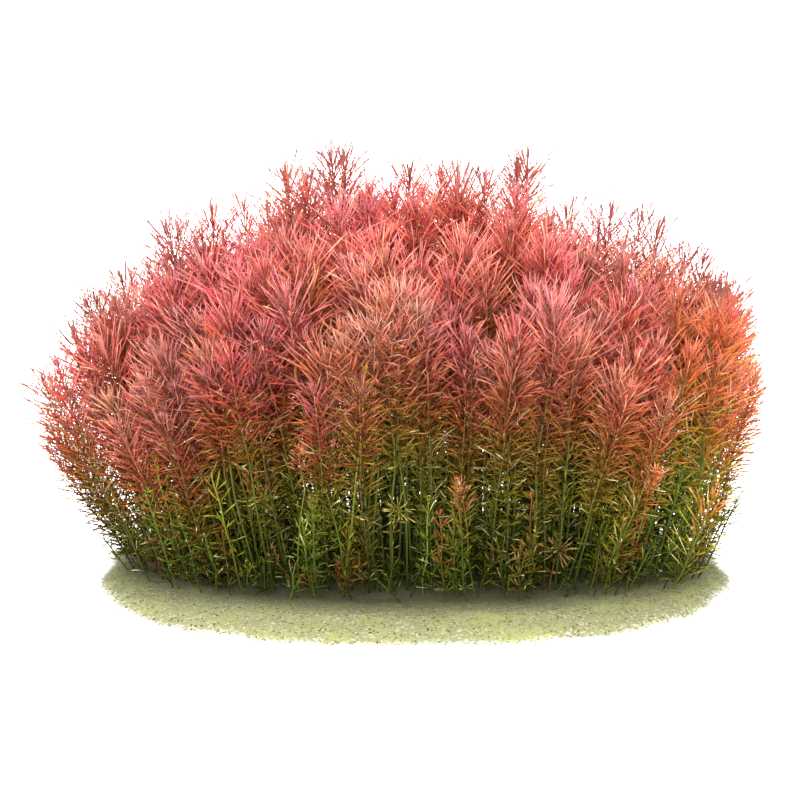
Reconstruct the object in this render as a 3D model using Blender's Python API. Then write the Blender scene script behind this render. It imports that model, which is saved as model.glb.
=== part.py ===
"""A bush of rotala, an aquarium stem plant, rooted in its patch of pale sand.

Every shoot is one solid: a thin stem with whorls of needle leaves fused to it, pushed upright
into a socket in the sand bed, then leaning outwards and rising to its place on the crown.
The origin is the middle of the sand bed's flat underside. +Z is up and -Y is the front.
"""

import math
import random

import bmesh
import bpy
import numpy as np
from mathutils import Quaternion, Vector

# Sand bed, in metres
SAND_HALF_WIDTH = 0.138
SAND_HALF_DEPTH = 0.100
SAND_CREST = 0.0080
SAND_EDGE = 0.0014
SAND_FLATNESS = 7
SAND_SQUARENESS = 2.5
SAND_SIDES = 36
SAND_RINGS = (0.45, 0.74, 0.87, 0.95, 1.0)
EDGE_SLOPE = 0.0012
EDGE_WANDER = 0.010
RIPPLE_HEIGHT = 0.0004
RIPPLES_ACROSS = 95
RIPPLES_ALONG = 120

# The clump of stems where it leaves the sand, and the crown that its tips make
CLUMP_CENTRE_Y = 0.002
CLUMP_HALF_WIDTH = 0.118
CLUMP_HALF_DEPTH = 0.046
CROWN_CENTRE_X = -0.0055
CROWN_CENTRE_Y = 0.002
CROWN_HALF_WIDTH = 0.148
CROWN_HALF_DEPTH = 0.080
CROWN_RIM_ENDS = 0.054
CROWN_RIM_MIDDLE = 0.088
CROWN_BULGE = 0.55
# Height of the stem tips above the sand across the crown, from the left end (-1) to the right (1)
CROWN_PROFILE = (
    (-1.00, 0.066),
    (-0.94, 0.090),
    (-0.82, 0.105),
    (-0.68, 0.118),
    (-0.54, 0.134),
    (-0.22, 0.156),
    (0.06, 0.149),
    (0.24, 0.154),
    (0.50, 0.137),
    (0.62, 0.140),
    (0.87, 0.118),
    (0.95, 0.100),
    (1.00, 0.086),
)
# Shoots that stand out along the ridge: place across the crown and height of the stem's tip
RIDGE_SHOOTS = (
    (-0.148, 0.064),
    (-0.136, 0.100),
    (-0.116, 0.119),
    (-0.096, 0.141),
    (-0.077, 0.149),
    (-0.047, 0.165),
    (-0.028, 0.171),
    (-0.003, 0.158),
    (0.017, 0.163),
    (0.035, 0.164),
    (0.053, 0.169),
    (0.088, 0.149),
    (0.126, 0.130),
    (0.137, 0.114),
    (0.146, 0.086),
)
RIDGE_PULL = 0.5
SHOOT_COUNT = 56
# The outermost shoots are leafy nearly down to the sand, where light reaches them
OUTER_SHOOTS = 20
PLACE_JITTER = 0.0016
TIP_JITTER = 0.0060
INNER_BOW = 0.50
OUTER_BOW = 0.60
YOUNG_BOW = 0.30

# One shoot
STEM_RADIUS = 0.0010
STEM_TIP_RADIUS = 0.0006
STEM_SIDES = 4
ROOT_DEPTH = 0.0042
COLLAR_HEIGHT = 0.0020
SOCKET_GAP = 0.0003
INNER_SIZE = {"pitch": 0.0080, "growth": 1.18, "whorls": 7, "leaf": 0.0215}
OUTER_SIZE = {"pitch": 0.0080, "growth": 1.10, "whorls": 9, "leaf": 0.0215}
YOUNG_SIZE = {"pitch": 0.0065, "growth": 1.18, "whorls": 3, "leaf": 0.0100}
WHORL_TWIST = math.radians(38)
LEAFY_SHARE = 0.90
BARE_SPAN = 0.020
MOST_BARE_SPANS = 3
LEAF_CLEARANCE = 0.0008
LEAF_SHARES = (1.0, 0.88, 0.76, 0.64, 0.52, 0.40, 0.30, 0.22)
TOP_LEAF_ANGLE = math.radians(34)
LOW_LEAF_ANGLE = math.radians(64)
BUD_LENGTH = 0.0100

# Young shoots in front of the clump: x, y, height, lean to the right
YOUNG_SHOOTS = (
    (-0.057, -0.0440, 0.041, -0.004),
    (-0.011, -0.0500, 0.038, 0.005),
    (0.056, -0.0470, 0.020, 0.004),
)

AXIS_STEPS = 40
GOLDEN_ANGLE = math.pi * (3 - math.sqrt(5))
SEED = 11


def clear_scene():
    for thing in list(bpy.data.objects):
        bpy.data.objects.remove(thing, do_unlink=True)


def make_material(name, colour, roughness):
    material = bpy.data.materials.new(name)
    material.use_nodes = True
    shader = material.node_tree.nodes["Principled BSDF"]
    shader.inputs["Base Color"].default_value = (*colour, 1.0)
    shader.inputs["Roughness"].default_value = roughness
    shader.inputs["Metallic"].default_value = 0.0
    return material


def link_object(name, mesh, material, parent, location=(0, 0, 0)):
    mesh.materials.append(material)
    thing = bpy.data.objects.new(name, mesh)
    thing.location = location
    thing.parent = parent
    bpy.context.collection.objects.link(thing)
    return thing


def mesh_from(name, form):
    """A mesh from a bmesh, with its faces turned outwards."""
    bmesh.ops.recalc_face_normals(form, faces=form.faces)
    mesh = bpy.data.meshes.new(name)
    form.to_mesh(mesh)
    form.free()
    return mesh


# Sand bed


def sand_outline(angle):
    """Distance from the centre to the edge of the sand, which wanders a little from a squared oval."""
    across = abs(math.cos(angle) / SAND_HALF_WIDTH) ** SAND_SQUARENESS
    along = abs(math.sin(angle) / SAND_HALF_DEPTH) ** SAND_SQUARENESS
    oval = (across + along) ** (-1 / SAND_SQUARENESS)
    wander = math.sin(3 * angle + 0.6) + 0.8 * math.sin(7 * angle + 2.1)
    return oval * (1 + EDGE_WANDER * (wander - 1.5))


def sand_height(x, y):
    """Height of the sand's top: a low mound with faint ripples that dies away at the edge."""
    angle = math.atan2(y, x)
    share = min(1.0, math.hypot(x, y) / sand_outline(angle))
    mound = SAND_EDGE + (SAND_CREST - SAND_EDGE) * (1 - share**SAND_FLATNESS)
    ripple = RIPPLE_HEIGHT * math.sin(RIPPLES_ACROSS * x + 1.3) * math.cos(RIPPLES_ALONG * y - 0.4)
    return mound + ripple * (1 - share**SAND_FLATNESS)


def make_sand(material, parent, sockets):
    form = bmesh.new()
    angles = [2 * math.pi * i / SAND_SIDES for i in range(SAND_SIDES)]
    rings = []
    for share in SAND_RINGS:
        ring = []
        for angle in angles:
            reach = sand_outline(angle) * share
            if share == SAND_RINGS[-1]:
                reach -= EDGE_SLOPE
            x = reach * math.cos(angle)
            y = reach * math.sin(angle)
            ring.append(form.verts.new((x, y, sand_height(x, y))))
        rings.append(ring)
    foot = []
    for angle in angles:
        reach = sand_outline(angle)
        foot.append(form.verts.new((reach * math.cos(angle), reach * math.sin(angle), 0)))
    rings.append(foot)
    crest = form.verts.new((0, 0, sand_height(0, 0)))
    under = form.verts.new((0, 0, 0))
    for i in range(SAND_SIDES):
        j = (i + 1) % SAND_SIDES
        form.faces.new((crest, rings[0][i], rings[0][j]))
        form.faces.new((under, foot[j], foot[i]))
        for inner, outer in zip(rings, rings[1:]):
            form.faces.new((inner[i], outer[i], outer[j]))
            form.faces.new((inner[i], outer[j], inner[j]))
    sand = link_object("sand_bed", mesh_from("sand_bed", form), material, parent)
    cut = sand.modifiers.new("stem_sockets", "BOOLEAN")
    cut.operation = "DIFFERENCE"
    cut.object = sockets
    return sand


def make_sockets(feet, parent):
    """One prism for each stem's foot, all in one cutter."""
    form = bmesh.new()
    for foot, turn in feet:
        top = sand_height(foot.x, foot.y)
        bmesh.ops.create_cone(
            form,
            cap_ends=True,
            cap_tris=False,
            segments=STEM_SIDES,
            radius1=STEM_RADIUS + SOCKET_GAP / math.cos(math.pi / STEM_SIDES),
            radius2=STEM_RADIUS + SOCKET_GAP / math.cos(math.pi / STEM_SIDES),
            depth=2 * (ROOT_DEPTH + SOCKET_GAP),
            matrix=socket_place(foot, top, turn),
        )
    mesh = bpy.data.meshes.new("stem_sockets")
    form.to_mesh(mesh)
    form.free()
    cutter = bpy.data.objects.new("stem_sockets", mesh)
    cutter.parent = parent
    cutter.hide_render = True
    cutter.display_type = "WIRE"
    bpy.context.collection.objects.link(cutter)
    return cutter


def socket_place(foot, top, turn):
    # create_cone starts its corners a quarter turn on from those of a stem ring
    spin = Quaternion((0, 0, 1), turn - math.pi / 2).to_matrix().to_4x4()
    spin.translation = Vector((foot.x, foot.y, top))
    return spin


# Where the shoots stand and where their tips go


def profile_height(across):
    """Height of the crown's ridge at this place across it, eased between the profile's points."""
    for (x0, h0), (x1, h1) in zip(CROWN_PROFILE, CROWN_PROFILE[1:]):
        if across <= x1:
            share = (across - x0) / (x1 - x0)
            eased = share * share * (3 - 2 * share)
            return h0 + (h1 - h0) * eased
    return CROWN_PROFILE[-1][1]


def crown_height(across, along):
    """Height of a stem's tip above the sand. It falls away from the ridge to the front and back."""
    chord = math.sqrt(max(1e-6, 1 - across * across))
    off_ridge = min(1.0, abs(along) / chord)
    ridge = profile_height(max(-1.0, min(1.0, across)))
    rim = CROWN_RIM_ENDS + (CROWN_RIM_MIDDLE - CROWN_RIM_ENDS) * chord
    return rim + (ridge - rim) * (1 - off_ridge**2) ** CROWN_BULGE


def curve_points(foot, tip, bow):
    """A stem's centreline above its collar. It leans out from the sand and turns up a little higher."""
    rise = tip.z - foot.z
    middle = Vector(
        (
            foot.x + (tip.x - foot.x) * bow,
            foot.y + (tip.y - foot.y) * bow,
            foot.z + rise * 0.5,
        )
    )
    points = []
    for i in range(AXIS_STEPS + 1):
        t = i / AXIS_STEPS
        points.append((1 - t) ** 2 * foot + 2 * t * (1 - t) * middle + t * t * tip)
    return points


def raise_ridge(feet, tips):
    """Turns the tip nearest to each ridge place towards it, from the ends inwards."""
    free = list(range(len(tips)))
    for across, height in sorted(RIDGE_SHOOTS, key=lambda shoot: -abs(shoot[0])):
        place = Vector((across + CROWN_CENTRE_X, CROWN_CENTRE_Y))
        nearest = min(free, key=lambda k: (tips[k].xy - place).length)
        free.remove(nearest)
        y = place.y + (tips[nearest].y - place.y) * RIDGE_PULL
        tips[nearest] = Vector((place.x, y, feet[nearest].z - COLLAR_HEIGHT + height))


def crown_axes(draw):
    """Centrelines of the crown's shoots, spread evenly over the clump as seeds are in a flower head."""
    feet = []
    tips = []
    bows = []
    for k in range(SHOOT_COUNT):
        radius = math.sqrt((k + 0.5) / SHOOT_COUNT)
        across = radius * math.cos(k * GOLDEN_ANGLE)
        along = radius * math.sin(k * GOLDEN_ANGLE)
        x = CLUMP_HALF_WIDTH * across + draw.uniform(-1, 1) * PLACE_JITTER
        y = CLUMP_CENTRE_Y + CLUMP_HALF_DEPTH * along + draw.uniform(-1, 1) * PLACE_JITTER
        ground = sand_height(x, y)
        feet.append(Vector((x, y, ground + COLLAR_HEIGHT)))
        tip_x = CROWN_CENTRE_X + CROWN_HALF_WIDTH * across + draw.uniform(-1, 1) * PLACE_JITTER
        tip_y = CROWN_CENTRE_Y + CROWN_HALF_DEPTH * along
        height = crown_height(across, along) + draw.uniform(-1, 1) * TIP_JITTER
        tips.append(Vector((tip_x, tip_y, ground + height)))
        bows.append(INNER_BOW + (OUTER_BOW - INNER_BOW) * radius)
    raise_ridge(feet, tips)
    return [curve_points(foot, tip, bow) for foot, tip, bow in zip(feet, tips, bows)]


def young_axes():
    axes = []
    for x, y, height, lean in YOUNG_SHOOTS:
        ground = sand_height(x, y)
        foot = Vector((x, y, ground + COLLAR_HEIGHT))
        tip = Vector((x + lean, y - 0.3 * abs(lean), ground + height))
        axes.append(curve_points(foot, tip, YOUNG_BOW))
    return axes


# One shoot


def length_of(points):
    return sum((b - a).length for a, b in zip(points, points[1:]))


def at_distance(points, distance):
    """The place and direction on a centreline, this far from its foot."""
    left = distance
    for a, b in zip(points, points[1:]):
        step = (b - a).length
        if left <= step:
            return a.lerp(b, left / step), (b - a).normalized()
        left -= step
    return points[-1].copy(), (points[-1] - points[-2]).normalized()


def leaf_length(share, longest):
    """Leaves are short at the bud, longest a quarter of the way down the plume, and shorter lower."""
    return longest * (0.62 + 0.38 * math.sin(math.pi * min(1.0, 0.25 + share)))


def leaf_tip(place, outwards, along, length, steepness):
    """The point of a leaf that leaves the stem at this steepness from its direction."""
    return place + length * (outwards * math.sin(steepness) + along * math.cos(steepness))


def clear_length(place, outwards, along, length, steepness, own, others):
    """The longest share of a leaf whose point stays nearer to its own stem than to any other."""
    for share in LEAF_SHARES:
        tip = np.array(leaf_tip(place, outwards, along, length * share, steepness))
        to_own = np.linalg.norm(own - tip, axis=1).min()
        to_others = np.linalg.norm(others - tip, axis=1).min()
        if to_others > to_own + LEAF_CLEARANCE:
            return length * share
    return length * LEAF_SHARES[-1]


def whorl_ends(total, size):
    """Distances along the stem at which whorls meet, lowest first. They lie further apart lower down."""
    pitch = size["pitch"]
    ends = [total - pitch * 0.25]
    while len(ends) <= size["whorls"] and ends[-1] - pitch > total * (1 - LEAFY_SHARE):
        ends.append(ends[-1] - pitch)
        pitch *= size["growth"]
    return ends[::-1]


def ring_places(axis, ends):
    """Place, direction and distance up the stem of each ring of corners, from the root to the bud."""
    up = Vector((0, 0, 1))
    places = [(axis[0] - up * (COLLAR_HEIGHT + ROOT_DEPTH), up, 0.0), (axis[0], up, 0.0)]
    spans = min(MOST_BARE_SPANS, max(1, round(ends[0] / BARE_SPAN)))
    bare = [ends[0] * i / spans for i in range(1, spans)]
    return places + [(*at_distance(axis, distance), distance) for distance in bare + ends]


def add_ring(form, place, along, facing, radius, origin):
    spokes = [Quaternion(along, 2 * math.pi * k / STEM_SIDES) @ facing for k in range(STEM_SIDES)]
    return [form.verts.new(place + spoke * radius - origin) for spoke in spokes]


def join_plain(form, below, above):
    """Plain walls between two rings of a bare stretch of stem."""
    for k in range(STEM_SIDES):
        j = (k + 1) % STEM_SIDES
        form.faces.new((below[k], below[j], above[j]))
        form.faces.new((below[k], above[j], above[k]))


def join_leafy(form, below, above, points):
    """Walls between two rings, each drawn out into a leaf that ends at its point."""
    for k, point in enumerate(points):
        j = (k + 1) % STEM_SIDES
        corners = (below[k], below[j], above[j], above[k])
        for a, b in zip(corners, corners[1:] + corners[:1]):
            form.faces.new((a, b, point))


def whorl_points(place, along, facing, share, longest, own, others):
    """The points of one whorl's leaves. share is 0 at the bud and 1 at the lowest whorl."""
    steepness = TOP_LEAF_ANGLE + (LOW_LEAF_ANGLE - TOP_LEAF_ANGLE) * share
    points = []
    for k in range(STEM_SIDES):
        outwards = Quaternion(along, 2 * math.pi * (k + 0.5) / STEM_SIDES) @ facing
        length = clear_length(
            place, outwards, along, leaf_length(share, longest), steepness, own, others
        )
        points.append(leaf_tip(place, outwards, along, length, steepness))
    return points


def make_shoot(name, axis, others, turn, size, material, parent):
    """A stem with its whorls of leaves: a faceted tube whose side faces are drawn out into leaves."""
    total = length_of(axis)
    ends = whorl_ends(total, size)
    own = np.array([tuple(p) for p in axis])
    origin = axis[0] - Vector((0, 0, COLLAR_HEIGHT))
    form = bmesh.new()
    direction = Vector((0, 0, 1))
    facing = Quaternion(direction, turn) @ Vector((1, 0, 0))
    below = None
    for place, along, distance in ring_places(axis, ends):
        facing = direction.rotation_difference(along) @ facing
        direction = along
        leafy = distance > ends[0]
        if leafy:
            facing = Quaternion(along, WHORL_TWIST) @ facing
        radius = STEM_RADIUS + (STEM_TIP_RADIUS - STEM_RADIUS) * distance / total
        above = add_ring(form, place, along, facing, radius, origin)
        if below is None:
            form.faces.new(above)
        elif leafy:
            share = (total - distance) / (total - ends[0])
            points = whorl_points(place, along, facing, share, size["leaf"], own, others)
            join_leafy(form, below, above, [form.verts.new(p - origin) for p in points])
        else:
            join_plain(form, below, above)
        below = above
    bud = form.verts.new(axis[-1] + direction * BUD_LENGTH - origin)
    for k in range(STEM_SIDES):
        form.faces.new((below[k], below[(k + 1) % STEM_SIDES], bud))
    return link_object(name, mesh_from(name, form), material, parent, origin)


def main():
    clear_scene()
    draw = random.Random(SEED)
    bush = bpy.data.objects.new("rotala_bush", None)
    bpy.context.collection.objects.link(bush)
    sand_material = make_material("pale_sand", (0.80, 0.77, 0.60), 0.90)
    crown_material = make_material("pink_shoot", (0.72, 0.20, 0.15), 0.55)
    young_material = make_material("orange_shoot", (0.70, 0.34, 0.12), 0.55)

    crown = crown_axes(draw)
    young = young_axes()
    axes = crown + young
    turns = [draw.uniform(0, 2 * math.pi) for _ in axes]
    feet = [(axis[0], turn) for axis, turn in zip(axes, turns)]
    make_sand(sand_material, bush, make_sockets(feet, bush))

    for i, axis in enumerate(axes):
        others = np.array([tuple(p) for k, other in enumerate(axes) if k != i for p in other])
        if i < len(crown):
            size = OUTER_SIZE if i >= SHOOT_COUNT - OUTER_SHOOTS else INNER_SIZE
            make_shoot(f"shoot_{i + 1:02d}", axis, others, turns[i], size, crown_material, bush)
        else:
            name = f"young_shoot_{i - len(crown) + 1}"
            make_shoot(name, axis, others, turns[i], YOUNG_SIZE, young_material, bush)


main()
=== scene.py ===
import math
import random

import bmesh
import bpy
import numpy as np
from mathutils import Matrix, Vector, noise
from mathutils.bvhtree import BVHTree


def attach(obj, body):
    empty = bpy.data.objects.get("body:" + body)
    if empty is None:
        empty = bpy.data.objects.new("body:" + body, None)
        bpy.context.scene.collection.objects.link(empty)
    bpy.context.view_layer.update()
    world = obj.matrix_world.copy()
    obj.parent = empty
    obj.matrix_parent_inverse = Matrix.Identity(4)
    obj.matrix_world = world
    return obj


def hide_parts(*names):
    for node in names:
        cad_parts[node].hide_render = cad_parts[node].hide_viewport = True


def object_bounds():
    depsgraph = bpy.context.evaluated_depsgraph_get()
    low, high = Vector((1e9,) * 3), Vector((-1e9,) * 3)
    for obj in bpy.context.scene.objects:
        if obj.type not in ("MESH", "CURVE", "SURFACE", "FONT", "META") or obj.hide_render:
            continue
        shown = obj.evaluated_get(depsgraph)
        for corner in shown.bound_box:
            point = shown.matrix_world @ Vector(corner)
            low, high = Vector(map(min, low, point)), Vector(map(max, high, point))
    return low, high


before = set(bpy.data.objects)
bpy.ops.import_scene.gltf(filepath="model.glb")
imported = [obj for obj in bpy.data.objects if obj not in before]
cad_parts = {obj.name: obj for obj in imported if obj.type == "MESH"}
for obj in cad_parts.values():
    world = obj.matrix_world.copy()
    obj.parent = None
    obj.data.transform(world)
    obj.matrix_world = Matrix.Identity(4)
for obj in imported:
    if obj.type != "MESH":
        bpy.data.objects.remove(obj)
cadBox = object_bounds()
nodeNames = sorted(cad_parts)
print("frame loaded:", len(nodeNames), "nodes")


# small helpers for node trees
def socketOf(sockets, key):
    if isinstance(key, int):
        return sockets[key]
    return next(s for s in sockets if s.name == key and s.enabled)


def addNode(tree, kind, inputs=None, **settings):
    made = tree.nodes.new(kind)
    for name, value in settings.items():
        setattr(made, name, value)
    for key, value in (inputs or {}).items():
        target = socketOf(made.inputs, key)
        if isinstance(value, bpy.types.NodeSocket):
            tree.links.new(value, target)
        else:
            target.default_value = value
    return made


def addValue(tree, kind, inputs=None, **settings):
    return addNode(tree, kind, inputs, **settings).outputs[0]


def doMath(tree, operation, value, *others):
    # several other values are taken one after the other
    for other in others or (0.0,):
        value = addValue(tree, "ShaderNodeMath", {0: value, 1: other}, operation=operation)
    return value


def doIntMath(tree, operation, a, b):
    return addValue(tree, "FunctionNodeIntegerMath", {0: a, 1: b}, operation=operation)


def doVector(tree, operation, a, b=(0, 0, 0)):
    return addValue(tree, "ShaderNodeVectorMath", {0: a, 1: b}, operation=operation)


def mapRange(tree, value, low, high, toLow, toHigh):
    inputs = {"Value": value, 1: low, 2: high, 3: toLow, 4: toHigh}
    return addValue(tree, "ShaderNodeMapRange", inputs)


def readAttribute(tree, name, kind="FLOAT"):
    return addValue(tree, "GeometryNodeInputNamedAttribute", {"Name": name}, data_type=kind)


def storeAttribute(tree, geometry, name, value, kind="FLOAT", domain="POINT"):
    inputs = {"Geometry": geometry, "Name": name, "Value": value}
    settings = {"data_type": kind, "domain": domain}
    return addValue(tree, "GeometryNodeStoreNamedAttribute", inputs, **settings)


def randomValue(tree, low, high, seed, shift, kind="FLOAT"):
    # each use shifts the seed by a number of its own
    made = addNode(tree, "FunctionNodeRandomValue", {"Min": low, "Max": high}, data_type=kind)
    tree.links.new(doIntMath(tree, "ADD", seed, shift), socketOf(made.inputs, "Seed"))
    return socketOf(made.outputs, "Value")


def floatCurve(tree, value, points):
    made = addNode(tree, "ShaderNodeFloatCurve", {"Value": value})
    line = made.mapping.curves[0]
    while len(line.points) < len(points):
        line.points.new(0.5, 0.5)
    for spot, (x, y) in zip(line.points, points):
        spot.location = (x, y)
    made.mapping.update()
    return made.outputs[0]


def splitVector(tree, value):
    return addNode(tree, "ShaderNodeSeparateXYZ", {0: value}).outputs


def joinVector(tree, x, y, z):
    return addValue(tree, "ShaderNodeCombineXYZ", {0: x, 1: y, 2: z})


def turnBy(tree, rotation, axis, angle):
    # turns a rotation further about one of its own axes
    step = addValue(tree, "FunctionNodeAxisAngleToRotation", {"Axis": axis, "Angle": angle})
    inputs = {"Rotation": rotation, "Rotate By": step}
    return addValue(tree, "FunctionNodeRotateRotation", inputs, rotation_space="LOCAL")


def standForms(tree, points, rack, which, rotation, scale):
    # one form of the rack on every point
    inputs = {"Collection": rack, "Separate Children": True, "Reset Children": True}
    forms = addValue(tree, "GeometryNodeCollectionInfo", inputs)
    inputs = {"Points": points, "Instance": forms, "Pick Instance": True, "Instance Index": which}
    inputs = {**inputs, "Rotation": rotation, "Scale": scale}
    return addValue(tree, "GeometryNodeInstanceOnPoints", inputs)


def joinMeshes(tree, first, second):
    joined = addNode(tree, "GeometryNodeJoinGeometry")
    tree.links.new(first, joined.inputs[0])
    tree.links.new(second, joined.inputs[0])
    return addValue(tree, "GeometryNodeRealizeInstances", {"Geometry": joined.outputs[0]})


def setMaterial(tree, geometry, material, selection=True):
    inputs = {"Geometry": geometry, "Selection": selection, "Material": material}
    return addValue(tree, "GeometryNodeSetMaterial", inputs)


def newTree(name, sockets, kind="GeometryNodeTree"):
    tree = bpy.data.node_groups.new(name, kind)
    for shape, labels in sockets.items():
        for label in labels:
            tree.interface.new_socket(label, in_out="INPUT", socket_type="NodeSocket" + shape)
    entry = tree.nodes.new("NodeGroupInput")
    return tree, {s.name: s for s in entry.outputs if s.name}


def endTree(tree, outputs):
    for label, (shape, _) in outputs.items():
        tree.interface.new_socket(label, in_out="OUTPUT", socket_type="NodeSocket" + shape)
    done = tree.nodes.new("NodeGroupOutput")
    for label, (_, value) in outputs.items():
        tree.links.new(value, socketOf(done.inputs, label))


def setInputs(modifier, values):
    sockets = {s.name: s.identifier for s in modifier.node_group.interface.items_tree if s.in_out == "INPUT"}
    for label, value in values.items():
        modifier[sockets[label]] = value


def linkObject(name, mesh):
    made = bpy.data.objects.new(name, mesh)
    bpy.context.scene.collection.objects.link(made)
    return made


def finishForm(form, name):
    mesh = bpy.data.meshes.new(name)
    form.to_mesh(mesh)
    form.free()
    for face in mesh.polygons:
        face.use_smooth = True
    return mesh


def newMaterial(name):
    material = bpy.data.materials.new(name)
    material.use_nodes = True
    tree = material.node_tree
    tree.nodes.clear()
    return material, tree


def colourRamp(tree, value, stops):
    made = addNode(tree, "ShaderNodeValToRGB", {"Fac": value})
    ramp = made.color_ramp
    while len(ramp.elements) < len(stops):
        ramp.elements.new(0.5)
    for element, (place, colour) in zip(ramp.elements, stops):
        element.position = place
        element.color = (*colour, 1)
    return made.outputs[0]


def mixColour(tree, share, a, b, blend="MIX"):
    made = addNode(tree, "ShaderNodeMix", {0: share, 6: a, 7: b}, data_type="RGBA", blend_type=blend)
    return made.outputs[2]


def attributeValue(tree, name):
    return addNode(tree, "ShaderNodeAttribute", attribute_name=name, attribute_type="GEOMETRY").outputs["Fac"]


def objectPlace(tree):
    return addNode(tree, "ShaderNodeTexCoord").outputs["Object"]


def shuffle(tree, value):
    return addNode(tree, "ShaderNodeTexWhiteNoise", {"W": value}, noise_dimensions="1D").outputs["Value"]


def brighten(tree, colour, value):
    return addValue(tree, "ShaderNodeHueSaturation", {"Value": value, "Color": colour})


def addSkin(tree, colour, roughness, specular, normal=None):
    inputs = {"Base Color": colour, "Roughness": roughness, "Specular IOR Level": specular}
    if normal is not None:
        inputs["Normal"] = normal
    return addValue(tree, "ShaderNodeBsdfPrincipled", inputs)


def thinSkin(tree, skin, colour, share):
    # thin growth passes a share of the light on to its far side
    through = addValue(tree, "ShaderNodeBsdfTranslucent", {"Color": colour})
    return addValue(tree, "ShaderNodeMixShader", {0: share, 1: skin, 2: through})


def setSurface(tree, shader):
    output = addNode(tree, "ShaderNodeOutputMaterial")
    tree.links.new(shader, output.inputs["Surface"])


# effects that several materials share
# the dim span paints shade that deepens just above the sand
shadeForm = {"dimSpan": (0.010, 0.046), "dimmest": 0.56}


def buildGrainGroup():
    tree, ask = newTree("fineGrain", {"Float": ("Scale", "Detail", "Strength", "Distance")}, "ShaderNodeTree")
    inputs = {"Vector": objectPlace(tree), "Scale": ask["Scale"], "Detail": ask["Detail"]}
    specks = addValue(tree, "ShaderNodeTexNoise", inputs)
    inputs = {"Strength": ask["Strength"], "Distance": ask["Distance"], "Height": specks}
    bump = addValue(tree, "ShaderNodeBump", inputs)
    endTree(tree, {"Mask": ("Float", specks), "Normal": ("Vector", bump)})
    return tree


def buildShadeGroup(form):
    # painted shade: low in the bush the colour is darkened and turned olive by height, more than the same
    # growth higher up
    sockets = {"Color": ("Color", "Deep Color"), "Float": ("Low", "High")}
    tree, ask = newTree("lowShade", sockets, "ShaderNodeTree")
    height = splitVector(tree, objectPlace(tree))[2]
    share = mapRange(tree, height, ask["Low"], ask["High"], 1.0, 0.0)
    colour = mixColour(tree, share, ask["Color"], ask["Deep Color"], "MULTIPLY")
    # painted shade: darker still over the last span above the sand
    dim = mapRange(tree, height, *form["dimSpan"], form["dimmest"], 1.0)
    endTree(tree, {"Color": ("Color", brighten(tree, colour, dim))})
    return tree


def useGroup(tree, group, inputs):
    return addNode(tree, "ShaderNodeGroup", inputs, node_tree=group).outputs


def shadeGrowth(tree, colour, look):
    # painted shade, lighter and greener on young growth and the outer shoots
    shadeTarget = mixColour(tree, attributeValue(tree, "fresh"), look["deepColour"], look["freshColour"])
    low, high = look["shadeSpan"]
    return useGroup(tree, shadeGroup, {"Color": colour, "Low": low, "High": high, "Deep Color": shadeTarget})["Color"]


grainGroup = buildGrainGroup()
shadeGroup = buildShadeGroup(shadeForm)


# leaves; a span gives the low and high end of a value, and a range two such spans, from and to
leafLook = {
    "reach": 0.150,
    "roseStops": [
        (0.00, (1.00, 0.48, 0.53)),
        (0.12, (1.00, 0.29, 0.35)),
        (0.24, (1.00, 0.19, 0.165)),
        (0.35, (0.82, 0.26, 0.065)),
        (0.46, (0.60, 0.45, 0.05)),
        (0.65, (0.48, 0.48, 0.06)),
        (1.00, (0.32, 0.42, 0.08)),
    ],
    "orangeStops": [
        (0.00, (1.00, 0.62, 0.54)),
        (0.12, (1.00, 0.45, 0.34)),
        (0.24, (0.96, 0.32, 0.145)),
        (0.35, (0.82, 0.40, 0.10)),
        (0.46, (0.72, 0.54, 0.085)),
        (0.65, (0.56, 0.56, 0.07)),
        (1.00, (0.38, 0.47, 0.09)),
    ],
    "ageSpread": 0.14,
    "ridgeHalf": 0.185,
    "ridgeLeast": 0.2,
    "scorchAlong": (0.30, 0.95, 0.0, 0.95),
    "scorchAge": (0.05, 0.35, 1.0, 0.15),
    "scorchBud": (0.003, 0.008, 0.0, 1.0),
    "scorchRidge": (0.158, 0.180, 0.15, 1.0),
    "creamRange": (0.88, 0.96, 0.0, 0.6),
    # painted highlights on a few leaves low in the bush
    "glintRange": (0.93, 0.97, 0.0, 0.8),
    "glintHeight": (0.060, 0.100, 1.0, 0.0),
    "leafValue": (0.80, 1.18),
    "shootValue": (0.82, 1.10),
    "shadeSpan": (0.010, 0.185),
    "grain": {"Scale": 900.0, "Detail": 2.0, "Strength": 0.25, "Distance": 0.0001},
    "roughness": (0.3, 0.7, 0.34, 0.56),
    "specular": 0.22,
    "tipColour": (0.028, 0.020, 0.020, 1),
    # pale cream of the painted highlights on a few leaves
    "creamColour": (0.95, 0.72, 0.48, 1),
    "glintColour": (0.86, 0.80, 0.44, 1),
    # painted shade colour, multiplied in low in the bush
    "deepColour": (0.23, 0.255, 0.078, 1),
    "freshColour": (0.78, 0.88, 0.44, 1),
    "thinness": 0.68,
}


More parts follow.
